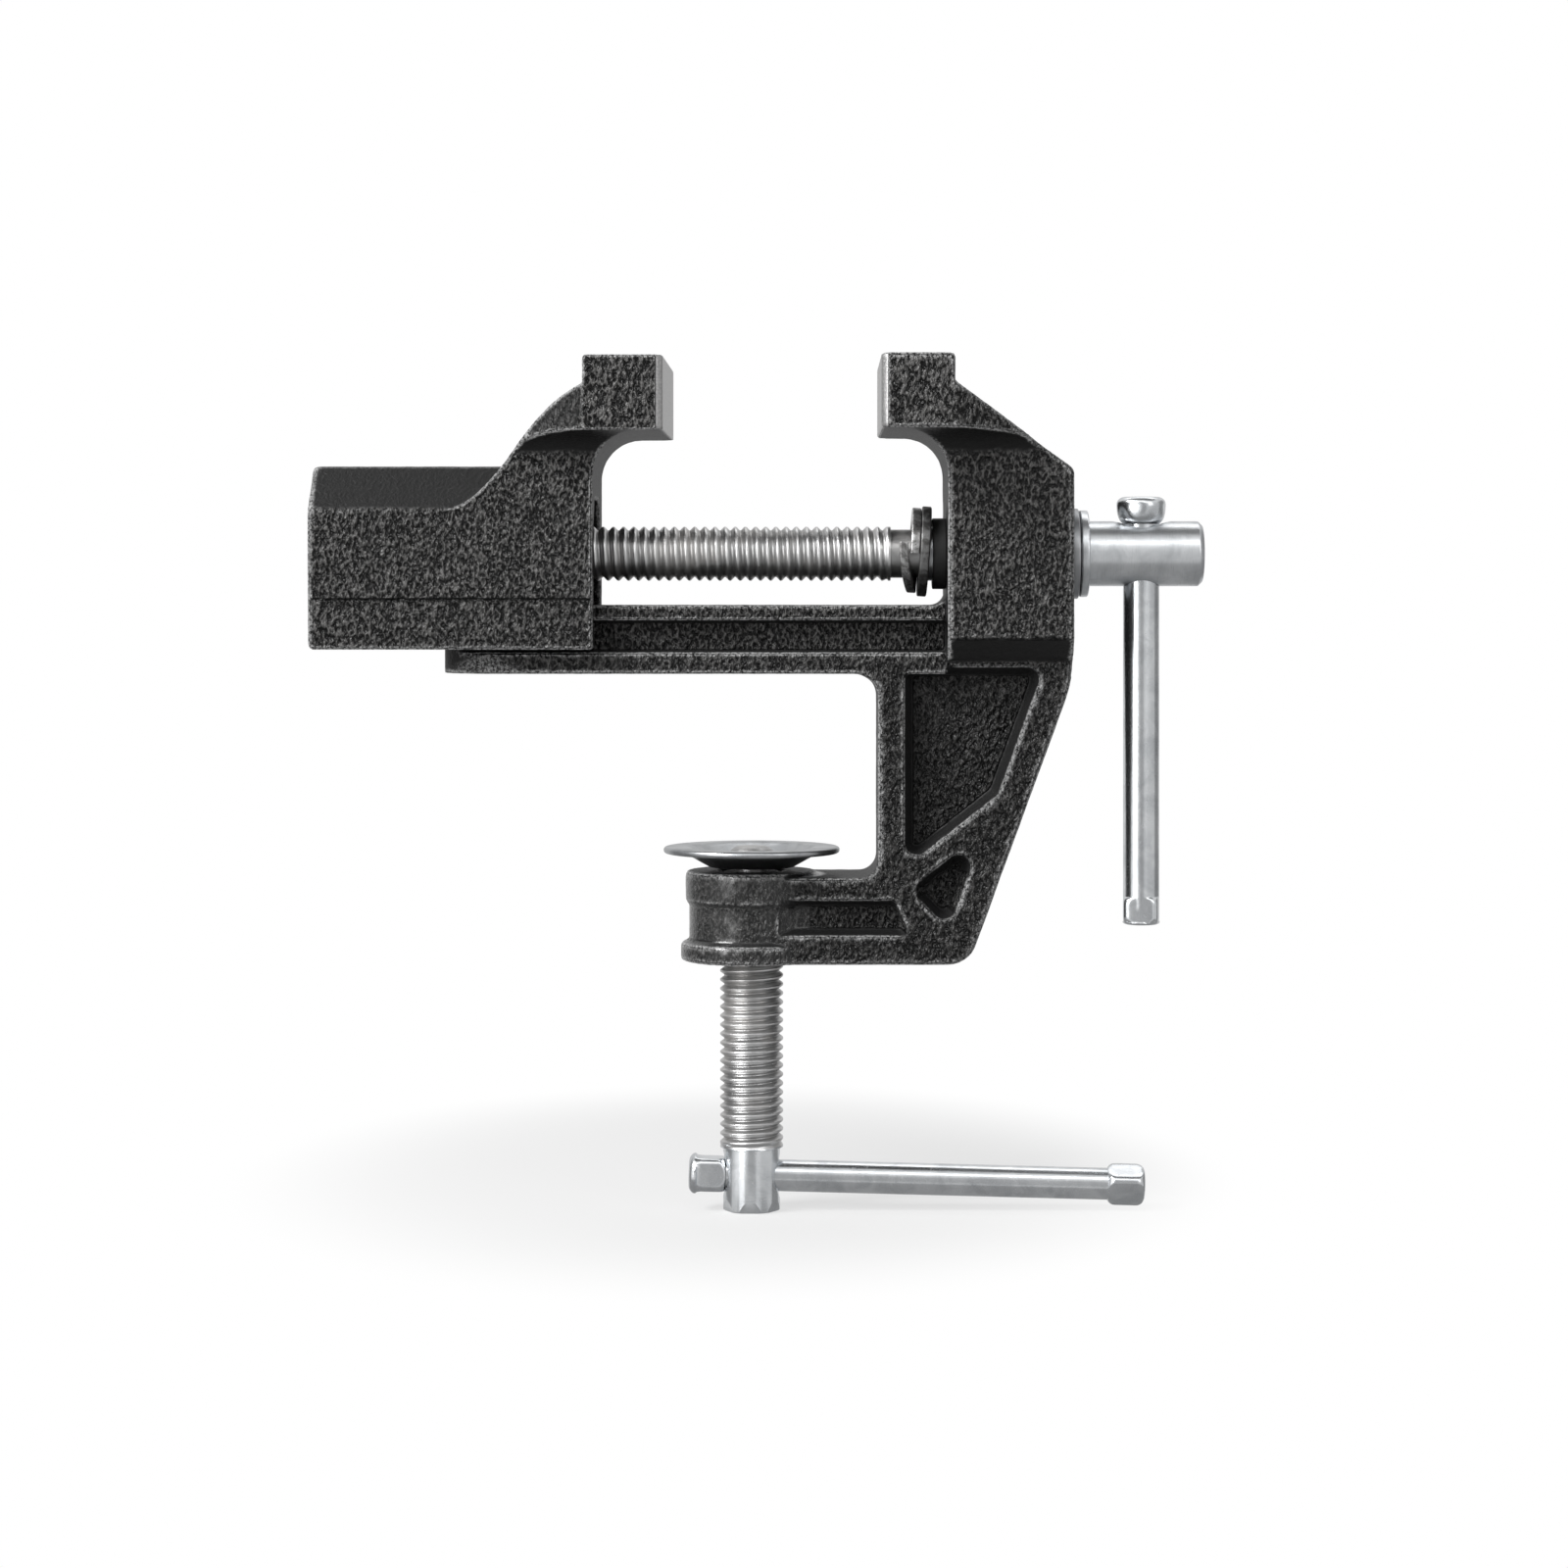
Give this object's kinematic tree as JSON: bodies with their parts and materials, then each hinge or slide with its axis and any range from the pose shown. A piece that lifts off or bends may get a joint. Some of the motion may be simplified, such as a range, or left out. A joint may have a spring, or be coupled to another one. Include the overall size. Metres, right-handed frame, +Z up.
{
  "type": "clamp-on bench vise",
  "caption": "Small cast bench vise that clamps to a table edge, with a screw-driven sliding jaw, sliding bar handles and a swivelling clamp pad.",
  "frame": {"origin": "on the frame's underside that rests on the table, over the axis of the clamp screw", "axes": "+X along the vise screw towards its handle, +Z up, Y across the jaws"},
  "size_m": [0.196, 0.06, 0.1882],
  "materials": {
    "casting_paint": "black wrinkled paint over cast iron",
    "nut_steel": "plain machined steel",
    "screw_zinc": "bright zinc plate, thread greyer",
    "handle_zinc": "bright zinc plate",
    "washer_steel": "dark steel",
    "bush_black": "black",
    "pad_zinc": "pressed sheet, zinc plated"
  },
  "bodies": {
    "frame": {"frame_casting": "casting_paint", "thrust_washer": "washer_steel", "bush": "bush_black"},
    "moving_jaw": {"moving_jaw": "casting_paint", "drive_nut": "nut_steel"},
    "vise_screw": {"vise_screw": "screw_zinc", "flat_washer": "washer_steel", "split_washer": "washer_steel"},
    "vise_handle": {"vise_handle": "handle_zinc"},
    "pad_washer": {"pad_washer": "washer_steel"},
    "clamp_screw": {"clamp_screw": "screw_zinc"},
    "clamp_handle": {"clamp_handle": "handle_zinc"},
    "clamp_pad": {"clamp_pad": "pad_zinc"}
  },
  "joints": [
    {"name": "jaw_slide", "type": "slide", "parent": "frame", "child": "moving_jaw", "axis": [1, 0, 0], "range_m": [-0.0038, 0.046]},
    {"name": "screw_spin", "type": "hinge", "parent": "frame", "child": "vise_screw", "pos_m": [0, 0, 0.0264], "axis": [1, 0, 0], "range_deg": [-7420, 620]},
    {"name": "vise_handle_slide", "type": "slide", "parent": "vise_screw", "child": "vise_handle", "axis": [0, 0, 1], "range_m": [0, 0.068]},
    {"name": "clamp_lift", "type": "slide", "parent": "frame", "child": "pad_washer", "axis": [0, 0, 1], "range_m": [0, 0.036]},
    {"name": "clamp_spin", "type": "hinge", "parent": "pad_washer", "child": "clamp_screw", "pos_m": [0, 0, -0.08], "axis": [0, 0, 1], "range_deg": [-10, 6500]},
    {"name": "clamp_handle_slide", "type": "slide", "parent": "clamp_screw", "child": "clamp_handle", "axis": [0.9997, 0, -0.0262], "range_m": [-0.0705, 0]},
    {"name": "pad_tilt", "type": "hinge", "parent": "pad_washer", "child": "clamp_pad", "pos_m": [0, 0, -0.0422], "axis": [0, 1, 0], "range_deg": [-4, 4]}
  ],
  "couplings": [
    {"joint": "screw_spin", "follows": "jaw_slide", "rad_per_m": -2792.5},
    {"joint": "clamp_spin", "follows": "clamp_lift", "rad_per_m": 3141.6}
  ]
}
